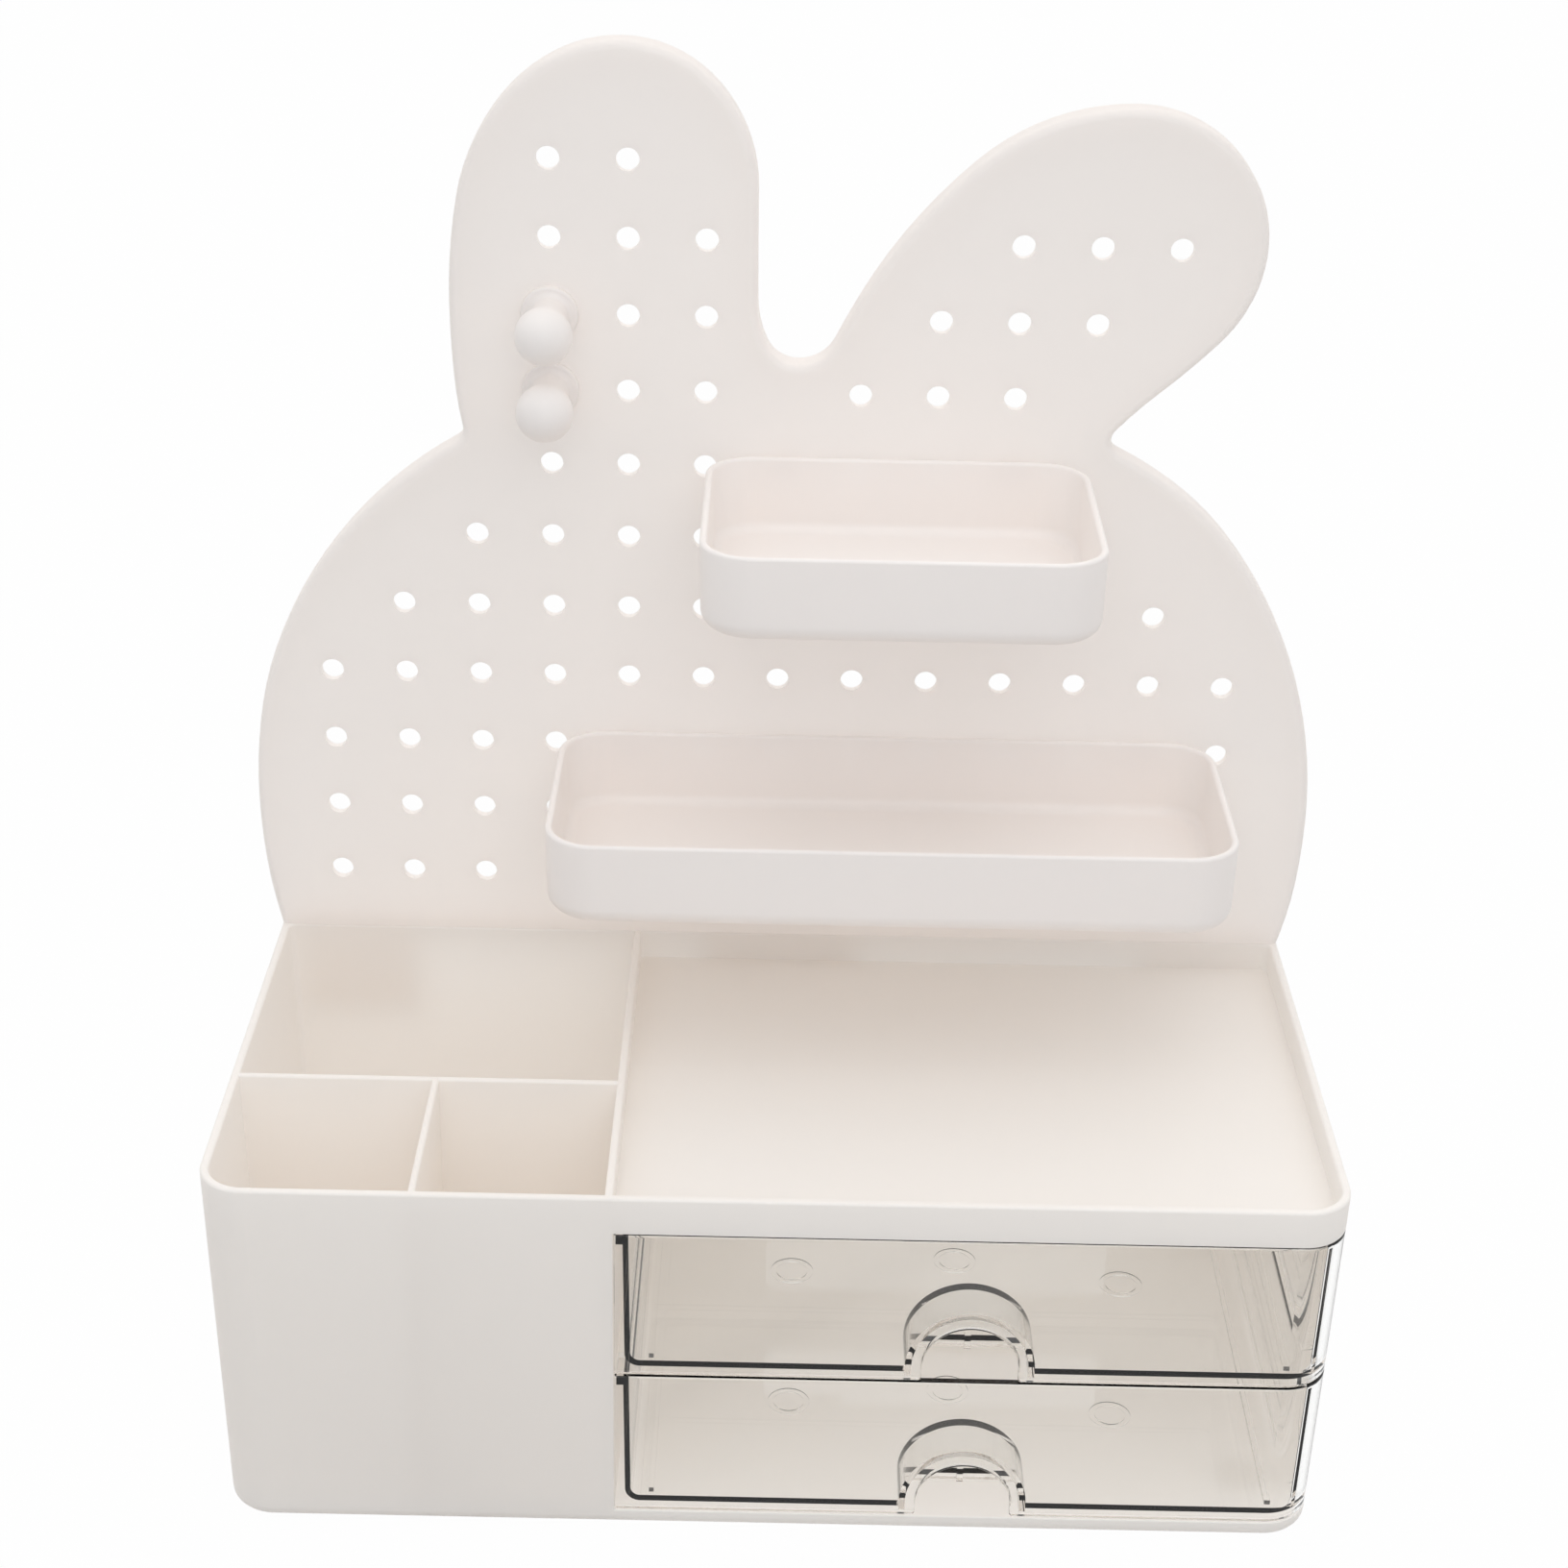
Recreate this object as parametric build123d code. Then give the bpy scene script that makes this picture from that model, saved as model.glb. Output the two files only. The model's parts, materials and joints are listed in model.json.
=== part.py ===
from build123d import *
import os
from math import cos, radians, sin, sqrt, tan

os.makedirs("parts", exist_ok=True)

# Desk organizer: a casing with three open compartments, a tray-shaped top and two clear
# drawers, and an upright pegboard behind it that carries two trays and two round pegs.
# Millimetres.  X runs to the right, Y to the back, Z up.  The origin is on the table,
# under the middle of the footprint.

# ---------------------------------------------------------------- driving dimensions

# Casing
rim_width = 280.0            # across the open rim, the widest part of the casing
casing_depth = 143.0         # front face to the rear edge
casing_height = 98.5         # underside to rim
foot_lift = 1.0              # how far the feet hold the casing off the table
side_draft = 1.45            # lean of the left and right sides, degrees
front_corner_r = 12.0
rear_corner_r = 2.0
base_edge_r = 3.5            # rounding round the underside
wall = 2.2
rim_edge_r = 0.7             # rounding along the rim and the tops of the dividers
opening_edge_r = 0.4         # rounding round the drawer opening
base_strip = 5.0             # casing below the drawer opening
floor_plate = 2.2
skirt_wall = 2.2
compartment_floor_r = 2.0

# Compartments on the left, and the partition beside the drawers
partition_x = -40.0
partition_wall = 2.0
divider_wall = 1.8
cross_divider_y = -17.5
short_divider_x = -87.5

# Tray-shaped top over the drawers
top_recess = 8.1
top_plate = 2.0

# Drawer bay
drawer_count = 2
side_wall_setback = 13.5     # the right side wall starts this far behind the front face
ledge_width = 1.8
ledge_height = 1.6
window_width = 101.0         # finger windows in the rear wall, one behind each drawer
window_x = 48.5
window_height = 20.0
window_rise = 15.7           # from the bottom of a drawer's space to its window
window_r = 2.0

# Clear drawers
front_gap = 0.25             # round each drawer front
front_plate = 2.0
tub_wall = 1.4
tub_floor = 1.7
tub_clearance = 2.3          # between the tub and the sides of the bay
tub_rear_gap = 1.0
tub_draft = 0.6              # lean of the tub's left wall, degrees
tub_rear_r = 4.0
tub_floor_r = 3.75
tub_front_drop = 2.0         # the front reaches this far below the tub's floor
tub_top_drop = 1.0           # the tub's walls stop this far below the top of the front
lip_width = 1.7
lip_height = 2.4
lip_seat_gap = 0.2           # the lips run this far above the ledges
rib_width = 1.2              # runner ribs under the floor
rib_height = 1.3
rib_inset = 6.4              # from the tub's side to the rib
rib_end_gap = 4.0
plate_edge_r = 0.6
arch_width = 24.0            # finger notch at the bottom of each front
arch_height = 15.3
arch_x = 49.0
arch_lip = 2.5               # the front stands in this far from the tunnel behind the notch
arch_depth = 13.5            # from the face of the front to the tunnel's closed back
arch_wall = 1.6
arch_foot = 0.9              # the tunnel's walls end this far above the bottom of the front
arch_edge_r = 0.7            # rounding round the notch
arch_rib_width = 1.6         # rib in the middle of the tunnel's back
arch_rib_height = 5.0
arch_rib_depth = 1.0
ring_outer_r = 5.5           # shallow moulding rings in the drawer floor
ring_inner_r = 4.0
ring_depth = 0.2
ring_spots = [(4.8, -30.0), (47.3, -24.0), (89.8, -33.0)]

# Pegboard
board_flange_depth = 8.0     # depth of the rim that runs round the back of the board
board_plate = 2.2
board_flange_wall = 2.0
board_edge_r = 2.0
hole_pitch = 20.0
hole_r = 3.0
hole_middle_x = -2.2         # the middle column of holes
first_row_rise = 18.2        # lowest row of holes above the casing's rim
middle_column = 6
hole_rows = [
    range(0, 13), range(0, 13), range(0, 13), range(0, 13),
    range(1, 12), range(2, 11), range(3, 10),
    (3, 4, 5, 7, 8, 9), (3, 4, 5, 8, 9, 10), (3, 4, 5, 9, 10, 11), (3, 4),
]
board_bulge = 4.5            # the board is this much wider than the rim on each side
shoulder_inset = 7.0         # from the end of the rim to the middle of the left shoulder
root_notch_r = 4.0           # rounding where an ear meets the shoulder

# Tongues on the board and their sockets in the casing
side_tongue_inset = 22.0     # from the end of the rim to the middle of a side tongue
side_tongue_width = 28.0
side_tongue_length = 25.0
middle_tongue_width = 40.0
middle_tongue_length = 13.0
tongue_thickness = 3.4
tongue_clearance = 0.3
tongue_tip_chamfer = 1.0
socket_wall = 1.8
socket_floor = 1.8
rear_ledge = 2.2             # thickness of the ledge that the board stands on
seat_gap = 0.12              # between the board and the casing, the trays and the pegs

# Trays that hang on the board
tray_wall = 1.8
tray_floor = 1.8
tray_corner_r = 13.0
tray_floor_r = 3.0
tray_base_r = 4.5
tray_rim_r = 0.8
tray_draft = 1.2
small_tray_width = 99.0
small_tray_depth = 74.5
small_tray_height = 22.0
small_tray_columns = (6, 9)
small_tray_row = 6
small_tray_stud_drop = 3.2   # studs below the tray's rim
long_tray_width = 176.5
long_tray_depth = 71.0
long_tray_height = 22.6
long_tray_columns = (4, 11)
long_tray_row = 2
long_tray_stud_drop = 3.8

# Studs and pegs
stud_clearance = 0.1         # radial, in a hole of the board
stud_length = 7.2            # from the board's front face
stud_slot_width = 1.2
stud_tip_chamfer = 0.6
peg_disc_r = 7.45
peg_disc_thickness = 2.0
peg_disc_edge_r = 0.7
peg_neck_r = 5.0
peg_neck_blend_r = 1.6
peg_ball_r = 7.3
peg_ball_reach = 19.8        # centre of the ball in front of the board
peg_column = 3
peg_rows = (8, 7)

# Feet
foot_r = 6.0
foot_inset_x = 18.0          # from the side of the casing to the centre of a foot
foot_inset_y = 18.0

overcut = 1.0                # how far a cutter reaches past the face it opens
touch = 0.001                # how near two coordinates are when they count as the same
corner_fit = 0.05            # the same for a point on a leaning rounded corner

# ---------------------------------------------------------------- worked-out places

front_y = -casing_depth / 2
rear_y = casing_depth / 2
base_z = foot_lift
rim_z = base_z + casing_height
bay_floor_z = base_z + base_strip
top_floor_z = rim_z - top_recess
bay_top_z = top_floor_z - top_plate
drawer_pitch = (bay_top_z - bay_floor_z) / drawer_count
bay_left_x = partition_x + partition_wall / 2
board_front_y = rear_y - board_flange_depth
board_plate_rear_y = board_front_y + board_plate
board_foot_z = rim_z + seat_gap
seat_y = board_front_y - seat_gap
slot_rear_y = front_y + side_wall_setback
first_row_z = rim_z + first_row_rise
stud_r = hole_r - stud_clearance
tub_rear_y = board_front_y - tub_rear_gap
ledge_front_y = slot_rear_y + front_gap


def side_x(z):
    """Right-hand outer face of the casing at height z."""
    return rim_width / 2 - (rim_z - z) * tan(radians(side_draft))


def hole_x(column):
    return hole_middle_x + (column - middle_column) * hole_pitch


def hole_z(row):
    return first_row_z + row * hole_pitch


# ---------------------------------------------------------------- shared shapes


def block(x0, x1, y0, y1, z0, z1):
    """Upright box between two corners."""
    middle = Pos((x0 + x1) / 2, (y0 + y1) / 2, (z0 + z1) / 2)
    return middle * Box(x1 - x0, y1 - y0, z1 - z0)


def leaning_block(left, right, y0, y1, z0, z1):
    """Box whose left and right faces lean; left(z) and right(z) give their places."""
    corners = [(left(z0), z0), (right(z0), z0), (right(z1), z1), (left(z1), z1)]
    end_face = Plane.XZ.offset(-y1) * make_face(Polyline(*corners, close=True))
    return extrude(end_face, y1 - y0)


def upright_edges(solid, y):
    """Rising edges at one end of a block."""
    return solid.edges().filter_by(
        lambda e: abs(e.center().Y - y) < touch and abs(e.tangent_at(0.5).Z) > 0.9
    )


def level_edges(solid, z):
    """Edges that lie at one height."""
    return solid.edges().filter_by(
        lambda e: abs(e.center().Z - z) < touch and abs(e.bounding_box().size.Z) < touch
    )


def casing_block(z0, z1, inset=0.0, y0=front_y, y1=rear_y, front_r=0.0, rear_r=0.0):
    """The casing's outer form between two heights, drawn in by inset at the sides."""
    solid = leaning_block(
        lambda z: inset - side_x(z), lambda z: side_x(z) - inset, y0, y1, z0, z1
    )
    if front_r > 0:
        solid = fillet(upright_edges(solid, y0), front_r)
    if rear_r > 0:
        solid = fillet(upright_edges(solid, y1), rear_r)
    return solid


def slotted_stud(x, z):
    """Stud that goes back through a hole of the board, split by one slot."""
    shank_axis = Plane.XZ.offset(-board_front_y - stud_length)
    length = stud_length + peg_disc_thickness / 2
    shank = Pos(x, 0, z) * extrude(shank_axis * Circle(stud_r), length)
    tip = shank.edges().group_by(Axis.Y)[-1]
    shank = chamfer(tip, stud_tip_chamfer)
    tip_y = board_front_y + stud_length
    slot = block(
        x - stud_slot_width / 2, x + stud_slot_width / 2,
        board_plate_rear_y - board_plate / 2, tip_y + overcut,
        z - stud_r - overcut, z + stud_r + overcut,
    )
    return shank - slot


# ---------------------------------------------------------------- casing


def tongue_places():
    """Centre, width and length of each tongue, from left to right."""
    side_middle = rim_width / 2 - side_tongue_inset
    return [
        (-side_middle, side_tongue_width, side_tongue_length),
        (0.0, middle_tongue_width, middle_tongue_length),
        (side_middle, side_tongue_width, side_tongue_length),
    ]


def socket_box(x, width, length):
    half = width / 2 + tongue_clearance + socket_wall
    bottom = rim_z - length - tongue_clearance - socket_floor
    return block(x - half, x + half, board_plate_rear_y - touch, rear_y, bottom, rim_z)


def socket_bore(x, width, length):
    half = width / 2 + tongue_clearance
    bottom = rim_z - length - tongue_clearance
    depth = tongue_thickness + 2 * tongue_clearance
    return block(
        x - half, x + half, board_plate_rear_y, board_plate_rear_y + depth, bottom, rim_z + overcut
    )


def compartments():
    """The three open compartments on the left, as the spaces to remove."""
    inside = casing_block(
        bay_floor_z, rim_z + overcut, wall, front_y + wall, board_front_y,
        front_corner_r - wall, rear_corner_r,
    )
    left = -rim_width / 2
    right = partition_x - partition_wall / 2
    cross_front = cross_divider_y - divider_wall / 2
    cross_rear = cross_divider_y + divider_wall / 2
    short_left = short_divider_x - divider_wall / 2
    short_right = short_divider_x + divider_wall / 2
    top = rim_z + overcut
    rooms = [
        (left, right, cross_rear, rear_y),
        (left, short_left, front_y, cross_front),
        (short_right, right, front_y, cross_front),
    ]
    spaces = []
    for x0, x1, y0, y1 in rooms:
        space = inside & block(x0, x1, y0, y1, bay_floor_z, top)
        spaces.append(fillet(level_edges(space, bay_floor_z), compartment_floor_r))
    return spaces


def drawer_bay():
    """Space for the drawers, open at the front and round the right-hand corner."""
    bay = casing_block(bay_floor_z, bay_top_z, wall, front_y - overcut, board_front_y)
    bay &= block(bay_left_x, rim_width, front_y - overcut, rear_y, bay_floor_z, bay_top_z)
    slot = block(
        bay_left_x, rim_width, front_y - overcut, slot_rear_y, bay_floor_z, bay_top_z
    )
    return bay + slot


def on_outer_face(point):
    """True for a point on the casing's outer face, in front of the side wall's front edge."""
    corner_x = side_x(point.Z) - front_corner_r
    corner_y = front_y + front_corner_r
    if point.X < corner_x:
        return abs(point.Y - front_y) < corner_fit
    if point.Y > corner_y:
        return abs(point.X - side_x(point.Z)) < corner_fit
    reach = Vector(point.X - corner_x, point.Y - corner_y).length
    return abs(reach - front_corner_r) < corner_fit


def on_opening(edge):
    """True for an outer edge of the drawer opening."""
    point = edge.position_at(0.5)
    span = edge.bounding_box()
    in_height = span.min.Z > bay_floor_z - touch and span.max.Z < bay_top_z + touch
    in_plan = point.X > bay_left_x - touch and point.Y < slot_rear_y + touch
    return in_height and in_plan and on_outer_face(point)


def top_tray():
    """Shallow recess over the drawers."""
    recess = casing_block(
        top_floor_z, rim_z + overcut, wall, front_y + wall, board_front_y,
        front_corner_r - wall, rear_corner_r,
    )
    recess &= block(bay_left_x, rim_width, front_y, rear_y, top_floor_z, rim_z + overcut)
    return recess


def ledge_top(level):
    """Height of the ledges under the lips of the drawer at this level."""
    drawer_top = bay_floor_z + (level + 1) * drawer_pitch - front_gap
    return drawer_top - tub_top_drop - lip_height - lip_seat_gap


def ledges(level):
    """One ledge on each side of the bay."""
    z1 = ledge_top(level)
    z0 = z1 - ledge_height
    left = block(bay_left_x - touch, bay_left_x + ledge_width, ledge_front_y, board_front_y, z0, z1)
    right = casing_block(z0, z1, wall - touch, ledge_front_y, board_front_y)
    right -= casing_block(
        z0 - overcut, z1 + overcut, wall + ledge_width, ledge_front_y - overcut, rear_y
    )
    right &= block(0, rim_width, ledge_front_y, board_front_y, z0, z1)
    return left + right


def rear_window(level):
    """Window behind a drawer, through which it is pushed out."""
    z0 = bay_floor_z + level * drawer_pitch + window_rise
    window = block(
        window_x - window_width / 2, window_x + window_width / 2,
        board_front_y - overcut, board_plate_rear_y + overcut, z0, z0 + window_height,
    )
    return fillet(window.edges().filter_by(Axis.Y), window_r)


def make_casing():
    shell = casing_block(base_z, rim_z, front_r=front_corner_r, rear_r=rear_corner_r)
    shell = fillet(level_edges(shell, base_z), base_edge_r)
    for space in compartments():
        shell -= space
    shell -= top_tray()
    shell -= drawer_bay()
    skirt_inset = base_edge_r + skirt_wall
    shell -= casing_block(
        base_z - overcut, bay_floor_z - floor_plate, skirt_inset,
        front_y + skirt_inset, rear_y - skirt_inset,
        front_corner_r - skirt_inset, rear_corner_r,
    )
    shell -= casing_block(
        bay_floor_z - floor_plate, rim_z - rear_ledge, wall, board_plate_rear_y, rear_y + overcut
    )
    for tongue in tongue_places():
        shell += socket_box(*tongue)
        shell -= socket_bore(*tongue)
    shell = fillet(level_edges(shell, rim_z), rim_edge_r)
    shell = fillet(shell.edges().filter_by(on_opening), opening_edge_r)
    for level in range(drawer_count):
        shell += ledges(level)
        shell -= rear_window(level)
    return shell


# ---------------------------------------------------------------- drawers


def tub_left_x(z, bottom):
    """Outer face of a tub's left wall, which leans in a little towards its bottom."""
    height = drawer_pitch - 2 * front_gap - tub_front_drop - tub_top_drop
    return bay_left_x + tub_clearance + (bottom + height - z) * tan(radians(tub_draft))


def tub_right_x(z):
    return side_x(z) - wall - tub_clearance


def tub_block(bottom, z0, z1, inset, y1, rear_r, floor_r):
    """The tub's outer form, or its inside when drawn in by inset."""
    y0 = front_y + front_plate - touch
    solid = leaning_block(
        lambda z: tub_left_x(z, bottom) + inset, lambda z: tub_right_x(z) - inset, y0, y1, z0, z1
    )
    solid = fillet(upright_edges(solid, y1), rear_r)
    lower = level_edges(solid, z0).filter_by(lambda e: e.center().Y > y0 + touch)
    return fillet(lower, floor_r)


def arch(x, bottom, half_width, height, y0, y1):
    """Prism with a round top, standing on the level called bottom."""
    spring = height - half_width
    left = x - half_width
    right = x + half_width
    outline = Polyline((left, spring), (left, 0), (right, 0), (right, spring))
    outline += ThreePointArc((right, spring), (x, height), (left, spring))
    return Pos(0, 0, bottom) * extrude(Plane.XZ.offset(-y1) * make_face(outline), y1 - y0)


def on_front_edge(edge):
    """True for an edge of a drawer front on the casing's outer face, not at its cut ends."""
    point = edge.position_at(0.5)
    clear_of_ends = point.X > bay_left_x + front_gap + touch and point.Y < slot_rear_y - front_gap - touch
    return clear_of_ends and on_outer_face(point)


def on_notch(edge, bottom):
    """True for an edge of the finger notch, on either face of a drawer's front."""
    point = edge.position_at(0.5)
    beside = abs(point.X - arch_x) < arch_width / 2 + touch and edge.length < 2 * arch_width
    below = bottom + touch < point.Z < bottom + arch_height + touch
    from_face = min(abs(point.Y - front_y), abs(point.Y - front_y - front_plate))
    return beside and below and from_face < touch


def make_drawer(level):
    """One clear drawer, moulded in one piece with its front."""
    z0 = bay_floor_z + level * drawer_pitch + front_gap
    z1 = bay_floor_z + (level + 1) * drawer_pitch - front_gap
    floor_z = z0 + tub_front_drop
    inside_z = floor_z + tub_floor
    wall_top_z = z1 - tub_top_drop
    plate_left_x = bay_left_x + front_gap
    plate_rear_y = front_y + front_plate
    nose_rear_y = slot_rear_y - front_gap
    nose_left_x = tub_right_x(z0) - tub_floor_r - tub_wall

    # The front: a plate that turns round the casing's right-hand corner.
    nose = casing_block(z0, z1, front_r=front_corner_r)
    nose &= block(plate_left_x, rim_width, front_y, nose_rear_y, z0, z1)
    outer_edges = level_edges(nose, z0) + level_edges(nose, z1)
    nose = fillet(outer_edges.filter_by(on_front_edge), plate_edge_r)
    behind = casing_block(
        z0 - overcut, z1 + overcut, front_plate, plate_rear_y, rear_y,
        front_corner_r - front_plate,
    )
    front = nose - behind

    # The tub, with the widened corner behind the turned end of the front.
    tub = tub_block(floor_z, floor_z, wall_top_z, 0.0, tub_rear_y, tub_rear_r, tub_floor_r)
    corner = nose & block(nose_left_x, rim_width, front_y, nose_rear_y, floor_z, wall_top_z)
    inside = tub_block(
        floor_z, inside_z, z1 + overcut, tub_wall, tub_rear_y - tub_wall,
        tub_rear_r - tub_wall, tub_floor_r - tub_wall,
    )
    corner_inside = behind & block(
        nose_left_x, rim_width, plate_rear_y, nose_rear_y - tub_wall, inside_z, z1 + overcut
    )
    drawer = front + tub + corner - inside - corner_inside

    # Lips along the tops of the side walls.
    lip_z = wall_top_z - lip_height
    left_lip = block(
        tub_left_x(wall_top_z, floor_z) - lip_width, tub_left_x(lip_z, floor_z) + tub_wall / 2,
        plate_rear_y - touch, tub_rear_y, lip_z, wall_top_z,
    )
    right_lip = leaning_block(
        lambda z: tub_right_x(z) - tub_wall / 2, lambda z: tub_right_x(z) + lip_width,
        nose_rear_y - tub_wall, tub_rear_y, lip_z, wall_top_z,
    )
    drawer += left_lip
    drawer += right_lip

    # Runner ribs under the floor.
    left_rib_x = tub_left_x(floor_z, floor_z) + rib_inset
    right_rib_x = tub_right_x(floor_z) - rib_inset
    for x in (left_rib_x, right_rib_x):
        drawer += block(
            x - rib_width / 2, x + rib_width / 2,
            plate_rear_y + rib_end_gap, tub_rear_y - tub_floor_r - rib_end_gap,
            floor_z - rib_height, floor_z + touch,
        )

    # Finger notch: an arch through the front, and a wider tunnel with a closed back behind it.
    half = arch_width / 2 + arch_lip
    crown = arch_height + arch_lip
    tunnel_rear_y = front_y + arch_depth
    tunnel_foot_z = z0 + arch_foot
    drawer += arch(
        arch_x, tunnel_foot_z, half + arch_wall, crown + arch_wall - arch_foot,
        plate_rear_y - touch, tunnel_rear_y + arch_wall,
    )
    drawer -= arch(arch_x, z0 - touch, half, crown + touch, plate_rear_y, tunnel_rear_y)
    drawer -= arch(
        arch_x, z0 - touch, arch_width / 2, arch_height + touch,
        front_y - overcut, plate_rear_y + touch,
    )
    drawer = fillet(drawer.edges().filter_by(lambda e: on_notch(e, z0)), arch_edge_r)
    drawer += block(
        arch_x - arch_rib_width / 2, arch_x + arch_rib_width / 2,
        tunnel_rear_y - arch_rib_depth, tunnel_rear_y + touch,
        tunnel_foot_z, tunnel_foot_z + arch_rib_height,
    )

    # Shallow rings left by the mould in the floor.
    for x, y in ring_spots:
        ring = Cylinder(ring_outer_r, ring_depth + overcut) - Cylinder(ring_inner_r, ring_depth + overcut)
        drawer -= Pos(x, y, inside_z - ring_depth + (ring_depth + overcut) / 2) * ring
    return drawer


# ---------------------------------------------------------------- pegboard


def heading(degrees):
    return Vector(cos(radians(degrees)), sin(radians(degrees)))


def biarc(p0, start_heading, p1, end_heading):
    """Two arcs that leave p0 and reach p1 along the given headings."""
    t0 = heading(start_heading)
    t1 = heading(end_heading)
    span = p1 - p0
    both = t0 + t1
    a = 2 * (1 - t0.dot(t1))
    along = span.dot(both)
    if a < touch:
        reach = span.dot(span) / (4 * span.dot(t1))
    else:
        reach = (sqrt(along * along + a * span.dot(span)) - along) / a
    q0 = p0 + t0 * reach
    q1 = p1 - t1 * reach
    middle = (q0 + q1) * 0.5
    between = (q1 - q0).normalized()
    return [tangent_piece(p0, middle, t0), tangent_piece(middle, p1, between)]


def tangent_piece(start, end, direction):
    """Arc from start to end that leaves along direction, or a line if it is straight."""
    chord = (end - start).normalized()
    turn = direction.X * chord.Y - direction.Y * chord.X
    if abs(turn) < touch:
        return Line(start, end)
    return TangentArc(start, end, tangent=direction)


def board_outline():
    """The board's outline above the casing's rim, clockwise from its lower left corner.

    Each knot has X, height above the rim, and the headings in and out in degrees.
    """
    foot = rim_width / 2
    widest = foot + board_bulge
    shoulder = foot - shoulder_inset
    return [
        (-foot, 0.0, 180, 104),
        (-widest, 39.2, 90, 90),
        (-shoulder, 93.7, 63.6, 63.6),
        (-84.8, 144.3, 28.7, 102.7),
        (-88.0, 180.2, 90, 90),
        (-74.0, 232.2, 50.5, 50.5),
        (-44.0, 247.2, 0, 0),
        (-9.4, 210.0, -90, -90),
        (-9.1, 181.2, -89, -89),
        (1.5, 165.5, 0, 0),
        (17.1, 183.0, 60.6, 60.6),
        (85.0, 233.0, 0, 0),
        (119.7, 198.9, -90, -90),
        (109.4, 173.6, -133.4, -133.4),
        (80.9, 145.5, -129, -23.5),
        (116.5, 119.3, -50.9, -50.9),
        (widest, 37.7, -90, -90),
        (foot, 0.0, -106, -180),
    ]


def board_face(inset):
    """Face inside the board's outline, drawn in by inset all round."""
    knots = []
    for x, rise, heading_in, heading_out in board_outline():
        inward_in = heading(heading_in - 90)
        inward_out = heading(heading_out - 90)
        shift = (inward_in + inward_out) * (inset / (1 + inward_in.dot(inward_out)))
        knots.append((Vector(x, rise) + shift, heading_in, heading_out))
    pieces = []
    for (start, _, leaving), (end, arriving, _) in zip(knots, knots[1:]):
        pieces += biarc(start, leaving, end, arriving)
    pieces.append(Line(knots[-1][0], knots[0][0]))
    face = make_face(pieces)
    roots = [point for point, before, after in knots[1:-1] if before != after]
    corners = [face.vertices().sort_by_distance(point)[0] for point in roots]
    return fillet(corners, root_notch_r + inset)


def board_holes():
    """All the holes of the pegboard as one group of cutters."""
    drill = extrude(Plane.XZ.offset(-rear_y) * Circle(hole_r), board_flange_depth + overcut)
    cutters = []
    for row, columns in enumerate(hole_rows):
        for column in columns:
            cutters.append(Pos(hole_x(column), 0, hole_z(row)) * drill)
    return cutters


def tongue(x, width, length):
    """Flat tongue under the board that drops into a socket of the casing."""
    y0 = board_plate_rear_y + tongue_clearance
    y1 = y0 + tongue_thickness
    plate = block(
        x - width / 2, x + width / 2, y0, y1,
        rim_z - length, board_foot_z + board_flange_wall / 2,
    )
    return chamfer(level_edges(plate, rim_z - length), tongue_tip_chamfer)


def make_board():
    outer_plane = Plane.XZ.offset(-rear_y)
    board = Pos(0, 0, board_foot_z) * extrude(outer_plane * board_face(0.0), board_flange_depth)
    front_edges = board.edges().group_by(Axis.Y)[0]
    board = fillet(front_edges.filter_by(lambda e: e.center().Z > board_foot_z + touch), board_edge_r)
    back_plane = Plane.XZ.offset(-rear_y - overcut)
    hollow_depth = board_flange_depth - board_plate + overcut
    hollow_face = back_plane * board_face(board_flange_wall)
    board -= Pos(0, 0, board_foot_z) * extrude(hollow_face, hollow_depth)
    board -= board_holes()
    for x, width, length in tongue_places():
        board += tongue(x, width, length)
    return board


# ---------------------------------------------------------------- trays, pegs and feet


def make_tray(width, depth, height, columns, row, stud_drop):
    """Open tray with a flat back that hangs on two studs."""
    studs_x = [hole_x(column) for column in columns]
    middle_x = sum(studs_x) / len(studs_x)
    top_z = hole_z(row) + stud_drop
    bottom_z = top_z - height
    tray_front_y = board_front_y - depth

    def half_width(z):
        return width / 2 - (top_z - z) * tan(radians(tray_draft))

    def cup(inset, z0, z1, corner_r, floor_r):
        solid = leaning_block(
            lambda z: middle_x + inset - half_width(z), lambda z: middle_x - inset + half_width(z),
            tray_front_y + inset, seat_y - inset, z0, z1,
        )
        corners = upright_edges(solid, tray_front_y + inset) + upright_edges(solid, seat_y - inset)
        solid = fillet(corners, corner_r)
        return fillet(level_edges(solid, z0), floor_r)

    tray = cup(0.0, bottom_z, top_z, tray_corner_r, tray_base_r)
    tray -= cup(
        tray_wall, bottom_z + tray_floor, top_z + overcut, tray_corner_r - tray_wall, tray_floor_r
    )
    tray = fillet(level_edges(tray, top_z), tray_rim_r)
    for x in studs_x:
        tray += slotted_stud(x, hole_z(row))
    return tray


def make_peg(row):
    """Round-headed peg with a disc that seats on the board."""
    x = hole_x(peg_column)
    z = hole_z(row)
    disc_face = Plane.XZ.offset(-seat_y)
    disc = extrude(disc_face * Circle(peg_disc_r), peg_disc_thickness)
    disc = fillet(disc.edges().group_by(Axis.Y)[0], peg_disc_edge_r)
    neck = extrude(disc_face * Circle(peg_neck_r), peg_ball_reach)
    head = disc + neck
    root_y = seat_y - peg_disc_thickness
    root = head.edges().filter_by(GeomType.CIRCLE).filter_by(
        lambda e: abs(e.center().Y - root_y) < touch and abs(e.radius - peg_neck_r) < touch
    )
    head = fillet(root, peg_neck_blend_r)
    head += Pos(0, board_front_y - peg_ball_reach, 0) * Sphere(peg_ball_r)
    return Pos(x, 0, z) * head + slotted_stud(x, z)


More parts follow.
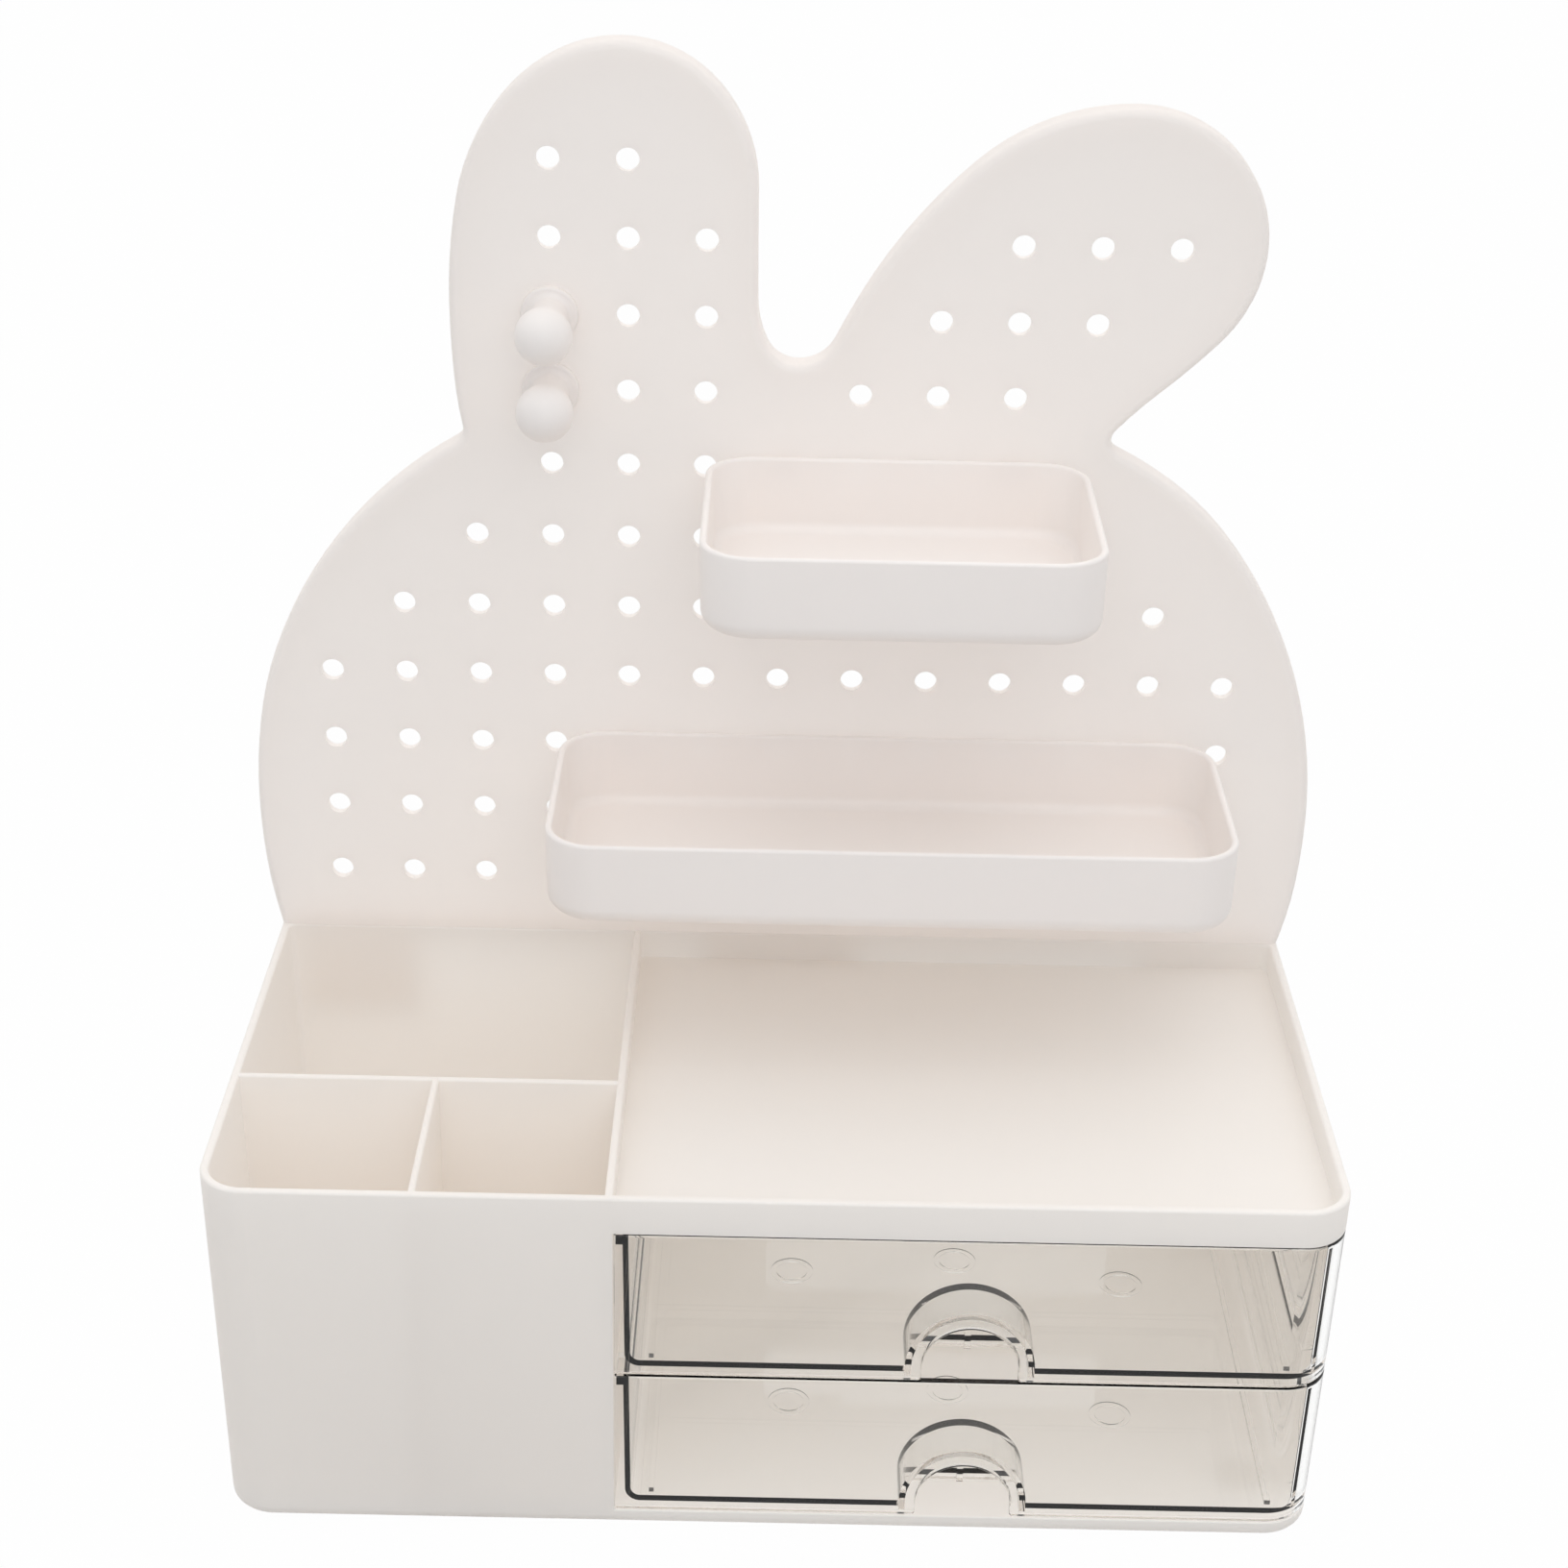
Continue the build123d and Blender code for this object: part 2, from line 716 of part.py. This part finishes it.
def make_foot(side, end):
    """Round pad under one corner: side is -1 left or 1 right, end is -1 front or 1 rear."""
    x = side * (rim_width / 2 - foot_inset_x)
    y = end * (casing_depth / 2 - foot_inset_y)
    thickness = bay_floor_z - floor_plate
    return Pos(x, y, thickness / 2) * Cylinder(foot_r, thickness)


# ---------------------------------------------------------------- assembly

pieces = {
    "casing": make_casing(),
    "pegboard": make_board(),
    "drawer_lower": make_drawer(0),
    "drawer_upper": make_drawer(1),
    "tray_small": make_tray(
        small_tray_width, small_tray_depth, small_tray_height,
        small_tray_columns, small_tray_row, small_tray_stud_drop,
    ),
    "tray_long": make_tray(
        long_tray_width, long_tray_depth, long_tray_height,
        long_tray_columns, long_tray_row, long_tray_stud_drop,
    ),
    "peg_upper": make_peg(peg_rows[0]),
    "peg_lower": make_peg(peg_rows[1]),
    "foot_front_left": make_foot(-1, -1),
    "foot_front_right": make_foot(1, -1),
    "foot_rear_left": make_foot(-1, 1),
    "foot_rear_right": make_foot(1, 1),
}

for name, piece in pieces.items():
    export_step(piece, f"parts/{name}.step")
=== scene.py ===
"""Looks of a desk organizer: a white casing with open compartments and two clear drawers, and a
white pegboard behind it that carries two trays and two round pegs.

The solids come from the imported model; this script gives them their finishes, and adds the floor,
the light and the camera of the reference view.
"""

from __future__ import annotations

import json
import logging
import math
from dataclasses import dataclass
from enum import Enum

import bmesh
import bpy
from mathutils import Euler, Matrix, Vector

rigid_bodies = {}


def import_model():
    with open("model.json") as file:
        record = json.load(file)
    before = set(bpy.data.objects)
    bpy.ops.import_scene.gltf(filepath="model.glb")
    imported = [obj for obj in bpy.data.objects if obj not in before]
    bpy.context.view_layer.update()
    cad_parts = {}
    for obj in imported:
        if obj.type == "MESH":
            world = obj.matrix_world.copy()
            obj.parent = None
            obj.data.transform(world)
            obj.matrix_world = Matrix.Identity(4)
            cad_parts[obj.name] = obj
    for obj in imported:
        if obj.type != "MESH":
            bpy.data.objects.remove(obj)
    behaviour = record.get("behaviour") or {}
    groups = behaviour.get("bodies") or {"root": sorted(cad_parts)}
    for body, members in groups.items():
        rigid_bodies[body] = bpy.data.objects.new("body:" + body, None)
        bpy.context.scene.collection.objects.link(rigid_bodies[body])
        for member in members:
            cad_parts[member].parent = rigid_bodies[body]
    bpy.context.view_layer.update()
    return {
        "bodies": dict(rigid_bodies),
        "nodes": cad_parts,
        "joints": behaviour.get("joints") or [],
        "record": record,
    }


log = logging.getLogger("organizer")

MM = 0.001
NOISE_LOW = 0.3
NOISE_HIGH = 0.7
Colour = tuple[float, float, float]
Place = tuple[float, float, float]
Tree = bpy.types.NodeTree
Socket = bpy.types.NodeSocket


class Slot(Enum):
    """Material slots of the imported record."""

    CASING = "casing_plastic"
    BOARD = "board_plastic"
    CLEAR = "clear_plastic"
    TRAY = "tray_plastic"
    FOOT = "foot_rubber"


def new_material(name: str) -> tuple[bpy.types.Material, Tree]:
    """Make an empty node material.

    Args:
        name: Name of the material.

    Returns:
        The material and its node tree, which holds only an output.
    """
    material = bpy.data.materials.new(name)
    material.use_nodes = True
    tree = material.node_tree
    tree.nodes.clear()
    tree.nodes.new("ShaderNodeOutputMaterial")
    return material, tree


def output_of(tree: Tree) -> bpy.types.Node:
    """Return the output node of a material or world tree."""
    return next(node for node in tree.nodes if node.type.startswith("OUTPUT"))


def noise(tree: Tree, scale: float, detail: float) -> Socket:
    """Add noise over the object's own coordinates.

    Args:
        tree: Node tree that gets the noise.
        scale: Noise cells in a metre.
        detail: Octaves of finer noise.

    Returns:
        The socket that carries the noise, from 0 to 1.
    """
    place = tree.nodes.new("ShaderNodeTexCoord")
    texture = tree.nodes.new("ShaderNodeTexNoise")
    texture.inputs["Scale"].default_value = scale
    texture.inputs["Detail"].default_value = detail
    tree.links.new(place.outputs["Object"], texture.inputs["Vector"])
    return texture.outputs["Fac"]


def remap(tree: Tree, source: Socket, low: float, high: float) -> Socket:
    """Spread a noise over a range.

    Args:
        tree: Node tree of the noise.
        source: Socket that carries the noise.
        low: Value where the noise is faint.
        high: Value where the noise is strong.

    Returns:
        The socket that carries the new value.
    """
    spread = tree.nodes.new("ShaderNodeMapRange")
    spread.inputs["From Min"].default_value = NOISE_LOW
    spread.inputs["From Max"].default_value = NOISE_HIGH
    spread.inputs["To Min"].default_value = low
    spread.inputs["To Max"].default_value = high
    tree.links.new(source, spread.inputs["Value"])
    return spread.outputs["Result"]


def bump(tree: Tree, height: Socket, depth: float) -> Socket:
    """Add a bump of a given depth in metres.

    Args:
        tree: Node tree of the height.
        height: Socket that carries the height, from 0 to 1.
        depth: Depth of the relief, in metres.

    Returns:
        The socket that carries the bumped normal.
    """
    node = tree.nodes.new("ShaderNodeBump")
    node.inputs["Strength"].default_value = 1.0
    node.inputs["Distance"].default_value = depth
    tree.links.new(height, node.inputs["Height"])
    return node.outputs["Normal"]


@dataclass(frozen=True)
class MouldedPlastic:
    """White moulded plastic with a satin skin, which lets a share of the light through."""

    name: str
    colour: Colour
    shade: Colour
    ior: float = 1.5
    roughness: float = 0.34
    roughness_swing: float = 0.05
    tone_scale: float = 9.0
    tone_detail: float = 2.0
    wear_scale: float = 36.0
    wear_detail: float = 3.0
    grain_scale: float = 2600.0
    grain_detail: float = 1.0
    grain_depth: float = 0.006 * MM
    through: float = 0.5
    through_colour: Colour = (0.985, 0.955, 0.925)

    def build(self) -> bpy.types.Material:
        """Build the material."""
        material, tree = new_material(self.name)
        skin = tree.nodes.new("ShaderNodeBsdfPrincipled")
        tone = tree.nodes.new("ShaderNodeMix")
        tone.data_type = "RGBA"
        tone.inputs["A"].default_value = (*self.colour, 1.0)
        tone.inputs["B"].default_value = (*self.shade, 1.0)
        patches = noise(tree, self.tone_scale, self.tone_detail)
        tree.links.new(remap(tree, patches, 0.0, 1.0), tone.inputs["Factor"])
        tree.links.new(tone.outputs["Result"], skin.inputs["Base Color"])
        low = self.roughness - self.roughness_swing
        high = self.roughness + self.roughness_swing
        wear = noise(tree, self.wear_scale, self.wear_detail)
        tree.links.new(remap(tree, wear, low, high), skin.inputs["Roughness"])
        grain = noise(tree, self.grain_scale, self.grain_detail)
        tree.links.new(bump(tree, grain, self.grain_depth), skin.inputs["Normal"])
        skin.inputs["IOR"].default_value = self.ior
        through = tree.nodes.new("ShaderNodeBsdfTranslucent")
        through.inputs["Color"].default_value = (*self.through_colour, 1.0)
        wall = tree.nodes.new("ShaderNodeMixShader")
        wall.inputs["Fac"].default_value = self.through
        tree.links.new(skin.outputs["BSDF"], wall.inputs[1])
        tree.links.new(through.outputs["BSDF"], wall.inputs[2])
        tree.links.new(wall.outputs["Shader"], output_of(tree).inputs["Surface"])
        return material


@dataclass(frozen=True)
class ClearPlastic:
    """Polished clear plastic that lets lamplight and soft light pass straight through."""

    name: str
    colour: Colour = (0.985, 0.985, 0.98)
    ior: float = 1.45
    roughness: float = 0.012
    wear_scale: float = 60.0
    wear_detail: float = 2.0
    absorb_colour: Colour = (0.80, 0.80, 0.78)
    absorb_density: float = 1.0
    shadow_tint: Colour = (0.997, 0.997, 0.995)

    def build(self) -> bpy.types.Material:
        """Build the material."""
        material, tree = new_material(self.name)
        glass = tree.nodes.new("ShaderNodeBsdfPrincipled")
        glass.inputs["Base Color"].default_value = (*self.colour, 1.0)
        glass.inputs["Transmission Weight"].default_value = 1.0
        glass.inputs["IOR"].default_value = self.ior
        wear = noise(tree, self.wear_scale, self.wear_detail)
        haze = remap(tree, wear, 0.5 * self.roughness, 1.5 * self.roughness)
        tree.links.new(haze, glass.inputs["Roughness"])
        lamps = tree.nodes.new("ShaderNodeBsdfTransparent")
        lamps.inputs["Color"].default_value = (*self.shadow_tint, 1.0)
        rays = tree.nodes.new("ShaderNodeLightPath")
        inner = tree.nodes.new("ShaderNodeMixShader")
        tree.links.new(rays.outputs["Is Diffuse Ray"], inner.inputs["Fac"])
        tree.links.new(glass.outputs["BSDF"], inner.inputs[1])
        tree.links.new(lamps.outputs["BSDF"], inner.inputs[2])
        choose = tree.nodes.new("ShaderNodeMixShader")
        tree.links.new(rays.outputs["Is Shadow Ray"], choose.inputs["Fac"])
        tree.links.new(inner.outputs["Shader"], choose.inputs[1])
        tree.links.new(lamps.outputs["BSDF"], choose.inputs[2])
        body = tree.nodes.new("ShaderNodeVolumeAbsorption")
        body.inputs["Color"].default_value = (*self.absorb_colour, 1.0)
        body.inputs["Density"].default_value = self.absorb_density
        tree.links.new(choose.outputs["Shader"], output_of(tree).inputs["Surface"])
        tree.links.new(body.outputs["Volume"], output_of(tree).inputs["Volume"])
        return material


@dataclass(frozen=True)
class SoftPad:
    """Matte rubbery pad."""

    name: str
    colour: Colour = (0.88, 0.88, 0.87)
    roughness_low: float = 0.7
    roughness_high: float = 0.9
    wear_scale: float = 400.0
    grain_scale: float = 1800.0
    detail: float = 2.0
    grain_depth: float = 0.03 * MM

    def build(self) -> bpy.types.Material:
        """Build the material."""
        material, tree = new_material(self.name)
        skin = tree.nodes.new("ShaderNodeBsdfPrincipled")
        skin.inputs["Base Color"].default_value = (*self.colour, 1.0)
        wear = noise(tree, self.wear_scale, self.detail)
        dull = remap(tree, wear, self.roughness_low, self.roughness_high)
        tree.links.new(dull, skin.inputs["Roughness"])
        grain = noise(tree, self.grain_scale, self.detail)
        tree.links.new(bump(tree, grain, self.grain_depth), skin.inputs["Normal"])
        tree.links.new(skin.outputs["BSDF"], output_of(tree).inputs["Surface"])
        return material


@dataclass
class Organizer:
    """The whole object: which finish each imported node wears."""

    casing: MouldedPlastic = MouldedPlastic(
        "casing_white", (0.975, 0.961, 0.943), (0.97, 0.953, 0.932), through=0.39
    )
    board: MouldedPlastic = MouldedPlastic(
        "board_white", (0.975, 0.948, 0.937), (0.97, 0.94, 0.925)
    )
    tray: MouldedPlastic = MouldedPlastic(
        "tray_white", (0.98, 0.955, 0.942), (0.975, 0.945, 0.93), through=0.3
    )
    clear: ClearPlastic = ClearPlastic("drawer_clear")
    pad: SoftPad = SoftPad("foot_grey")
    pad_gap: float = 0.08 * MM

    def dress(self, frame: dict) -> None:
        """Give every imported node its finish.
        """
        finishes = {
            Slot.CASING: self.casing.build(),
            Slot.BOARD: self.board.build(),
            Slot.TRAY: self.tray.build(),
            Slot.CLEAR: self.clear.build(),
            Slot.FOOT: self.pad.build(),
        }
        parts = frame["record"]["subparts"]
        slots = {part["node"]: Slot(part["material_slot"]) for part in parts}
        for name, node in frame["nodes"].items():
            material = finishes[slots[name]]
            node.data.materials.clear()
            node.data.materials.append(material)
            if slots[name] is Slot.FOOT:
                self.draw_in(node)
            log.info("%s wears %s, %d faces", name, material.name, len(node.data.polygons))

    def draw_in(self, pad: bpy.types.Object) -> None:
        """Draw a pad in by a hair, so that no face of it lies in a face of the casing.

        Args:
            pad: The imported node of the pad.
        """
        gap = pad.modifiers.new("seat_gap", "DISPLACE")
        gap.mid_level = 0.0
        gap.strength = -self.pad_gap


@dataclass(frozen=True)
class Lamp:
    """Soft square lamp: its place and target in metres, its side in metres, its power in watts."""

    name: str
    place: Place
    target: Place
    size: float
    power: float
    colour: Colour

    def build(self) -> None:
        """Hang the lamp and point it at its target."""
        data = bpy.data.lights.new(self.name, "AREA")
        data.size = self.size
        data.energy = self.power
        data.color = self.colour
        lamp = bpy.data.objects.new(self.name, data)
        lamp.location = self.place
        aim = Vector(self.target) - Vector(self.place)
        lamp.rotation_euler = aim.to_track_quat("-Z", "Y").to_euler()
        bpy.context.collection.objects.link(lamp)


@dataclass
class Studio:
    """Plain pale floor, white surroundings and soft lamps."""

    floor_size: float = 6.0
    floor_colour: Colour = (0.5, 0.5, 0.5)
    floor_glow: float = 0.985
    horizon: Colour = (0.35, 0.405, 0.455)
    zenith: Colour = (1.42, 1.385, 1.355)
    brightest: Place = (0.0, 0.35, 0.94)
    backdrop: Colour = (1.0, 1.0, 1.0)
    lamps: tuple[Lamp, ...] = (
        Lamp("above", (0.05, -0.40, 0.90), (0.0, 0.0, 0.15), 0.6, 0.8, (1.0, 0.985, 0.97)),
        Lamp("front", (0.1, -1.25, 0.75), (0.0, 0.0, 0.15), 0.8, 2.6, (0.98, 0.99, 1.0)),
    )

    def build(self) -> None:
        """Build the floor, the world and the lamps."""
        self.build_floor()
        self.build_world()
        for lamp in self.lamps:
            lamp.build()

    def build_floor(self) -> None:
        """Build a floor that the camera sees as white, with a faint shadow."""
        mesh = bpy.data.meshes.new("floor")
        shape = bmesh.new()
        bmesh.ops.create_grid(shape, x_segments=1, y_segments=1, size=self.floor_size / 2)
        shape.to_mesh(mesh)
        shape.free()
        floor = bpy.data.objects.new("floor", mesh)
        bpy.context.collection.objects.link(floor)
        material, tree = new_material("floor_white")
        matte = tree.nodes.new("ShaderNodeBsdfDiffuse")
        matte.inputs["Color"].default_value = (*self.floor_colour, 1.0)
        glow = tree.nodes.new("ShaderNodeEmission")
        glow.inputs["Strength"].default_value = 1.0
        seen = tree.nodes.new("ShaderNodeMath")
        seen.operation = "MULTIPLY"
        seen.inputs[1].default_value = self.floor_glow
        tree.links.new(self.looking(tree), seen.inputs[0])
        choose = tree.nodes.new("ShaderNodeMixShader")
        tree.links.new(seen.outputs["Value"], choose.inputs["Fac"])
        tree.links.new(matte.outputs["BSDF"], choose.inputs[1])
        tree.links.new(glow.outputs["Emission"], choose.inputs[2])
        tree.links.new(choose.outputs["Shader"], output_of(tree).inputs["Surface"])
        mesh.materials.append(material)

    def build_world(self) -> None:
        """Build surroundings that light the object evenly and look white."""
        world = bpy.data.worlds.new("surroundings")
        bpy.context.scene.world = world
        world.use_nodes = True
        tree = world.node_tree
        tree.nodes.clear()
        output = tree.nodes.new("ShaderNodeOutputWorld")
        direction = tree.nodes.new("ShaderNodeTexCoord")
        toward = tree.nodes.new("ShaderNodeVectorMath")
        toward.operation = "DOT_PRODUCT"
        toward.inputs[1].default_value = self.brightest
        tree.links.new(direction.outputs["Generated"], toward.inputs[0])
        dome = tree.nodes.new("ShaderNodeMix")
        dome.data_type = "RGBA"
        dome.inputs["A"].default_value = (*self.horizon, 1.0)
        dome.inputs["B"].default_value = (*self.zenith, 1.0)
        tree.links.new(toward.outputs["Value"], dome.inputs["Factor"])
        light = tree.nodes.new("ShaderNodeBackground")
        tree.links.new(dome.outputs["Result"], light.inputs["Color"])
        backdrop = tree.nodes.new("ShaderNodeBackground")
        backdrop.inputs["Color"].default_value = (*self.backdrop, 1.0)
        choose = tree.nodes.new("ShaderNodeMixShader")
        tree.links.new(self.looking(tree), choose.inputs["Fac"])
        tree.links.new(light.outputs["Background"], choose.inputs[1])
        tree.links.new(backdrop.outputs["Background"], choose.inputs[2])
        tree.links.new(choose.outputs["Shader"], output.inputs["Surface"])

    def looking(self, tree: Tree) -> Socket:
        """Tell the rays that show the surroundings from those that light the object.

        Args:
            tree: Node tree of the floor or the world.

        Returns:
            A socket that is 1 for rays from the camera, off gloss and through glass, else 0.
        """
        rays = tree.nodes.new("ShaderNodeLightPath")
        gloss = tree.nodes.new("ShaderNodeMath")
        gloss.operation = "MAXIMUM"
        tree.links.new(rays.outputs["Is Camera Ray"], gloss.inputs[0])
        tree.links.new(rays.outputs["Is Glossy Ray"], gloss.inputs[1])
        glass = tree.nodes.new("ShaderNodeMath")
        glass.operation = "MAXIMUM"
        tree.links.new(gloss.outputs["Value"], glass.inputs[0])
        tree.links.new(rays.outputs["Is Transmission Ray"], glass.inputs[1])
        return glass.outputs["Value"]


@dataclass
class ReferenceCamera:
    """Camera of the reference view."""

    place: Place = (-0.00138, -0.65810, 0.49040)
    pitch: float = 64.501
    roll: float = -1.145
    turn: float = 0.420
    focal_length: float = 66.863
    sensor: float = 36.0
    nearest: float = 0.01

    def build(self) -> None:
        """Build the camera and make it the scene's own."""
        data = bpy.data.cameras.new("reference")
        data.sensor_width = self.sensor
        data.lens = self.focal_length
        data.clip_start = self.nearest
        camera = bpy.data.objects.new("reference", data)
        camera.location = self.place
        angles = [math.radians(angle) for angle in (self.pitch, self.roll, self.turn)]
        camera.rotation_euler = Euler(angles, "XYZ")
        bpy.context.collection.objects.link(camera)
        bpy.context.scene.camera = camera


@dataclass(frozen=True)
class LightPaths:
    """How often light may bounce; the drawers' bay needs many bounces to fill with light."""

    all_kinds: int = 28
    diffuse: int = 16
    transmission: int = 14
    transparent: int = 64

    def apply(self, scene: bpy.types.Scene) -> None:
        """Set the bounce counts.

        Args:
            scene: The scene to render.
        """
        scene.cycles.max_bounces = self.all_kinds
        scene.cycles.diffuse_bounces = self.diffuse
        scene.cycles.transmission_bounces = self.transmission
        scene.cycles.transparent_max_bounces = self.transparent


def main() -> None:
    """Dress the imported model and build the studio."""
    logging.basicConfig(level=logging.INFO, format="%(message)s")
    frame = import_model()
    ReferenceCamera().build()
    Studio().build()
    Organizer().dress(frame)
    scene = bpy.context.scene
    scene.view_settings.view_transform = "Standard"
    LightPaths().apply(scene)


if __name__ == "__main__":
    main()
